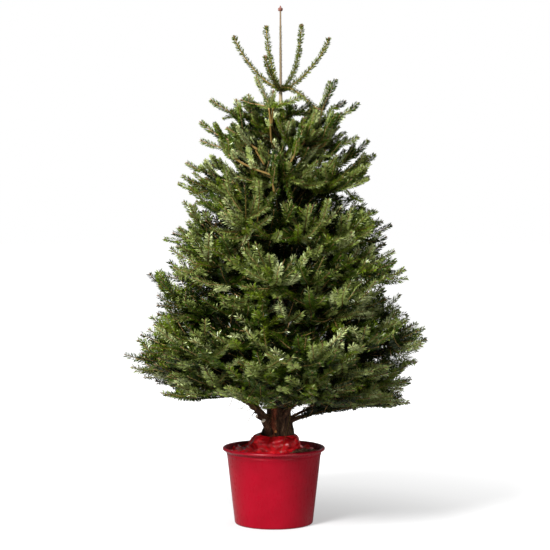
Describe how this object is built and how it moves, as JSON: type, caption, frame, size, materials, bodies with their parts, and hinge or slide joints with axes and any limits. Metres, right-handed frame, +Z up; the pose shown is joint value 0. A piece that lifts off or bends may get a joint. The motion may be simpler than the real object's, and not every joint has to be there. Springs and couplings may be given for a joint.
{
  "type": "potted christmas tree",
  "caption": "Young living fir in a red round pot with a rolled lip: whorled boughs in a dense cone, bare leader above a ring of upcurved top shoots.",
  "frame": {"origin": "centre of the pot's flat underside", "axes": "+Z up along the trunk, and the front looks along -Y; +X is to the right seen from the front"},
  "size_m": [0.8629, 0.8807, 1.5],
  "materials": {
    "pot": "moulded, soft sheen",
    "film": "thin crumpled film, glossy",
    "compost": "damp potting compost and bark chips, rough",
    "bark": "grey-brown young bark, rough",
    "twig": "smooth tan shoots",
    "bud": "resinous scales, satin",
    "needles": "waxy, satin",
    "young_needles": "waxy, satin"
  },
  "bodies": {
    "root": {"pot": "pot", "compost": "compost", "film_wrap": "film", "trunk": "bark", "top_shoot_right": "young_needles", "top_shoot_back_right": "young_needles", "top_shoot_back_left": "young_needles", "top_shoot_left": "young_needles", "top_shoot_front_left": "young_needles", "top_shoot_front_right": "young_needles", "bough_1": "bark", "bough_2": "bark", "bough_3": "bark", "bough_4": "bark", "bough_5": "bark", "foliage_1_1": "needles", "foliage_1_2": "needles", "foliage_1_3": "needles", "foliage_1_4": "needles", "foliage_1_5": "needles", "foliage_2_1": "needles", "foliage_2_2": "needles", "foliage_2_3": "needles", "foliage_2_4": "needles", "foliage_2_5": "needles", "foliage_3_1": "needles", "foliage_3_2": "needles", "foliage_3_3": "needles", "foliage_3_4": "needles", "foliage_3_5": "needles", "foliage_4_1": "needles", "foliage_4_2": "needles", "foliage_4_3": "needles", "foliage_4_4": "needles", "foliage_4_5": "needles", "foliage_4_6": "needles", "foliage_5_1": "needles", "foliage_5_2": "needles", "foliage_5_3": "needles", "foliage_5_4": "needles", "foliage_5_5": "needles", "foliage_5_6": "needles", "foliage_6_1": "needles", "foliage_6_2": "needles", "foliage_6_3": "needles", "foliage_6_4": "needles", "foliage_6_5": "needles", "foliage_6_6": "needles", "foliage_7_1": "needles", "foliage_7_2": "needles", "foliage_7_3": "needles", "foliage_7_4": "needles", "foliage_7_5": "needles", "foliage_7_6": "needles", "foliage_8_1": "needles", "foliage_8_2": "needles", "foliage_8_3": "needles", "foliage_8_4": "needles", "foliage_8_5": "needles"}
  },
  "joints": []
}
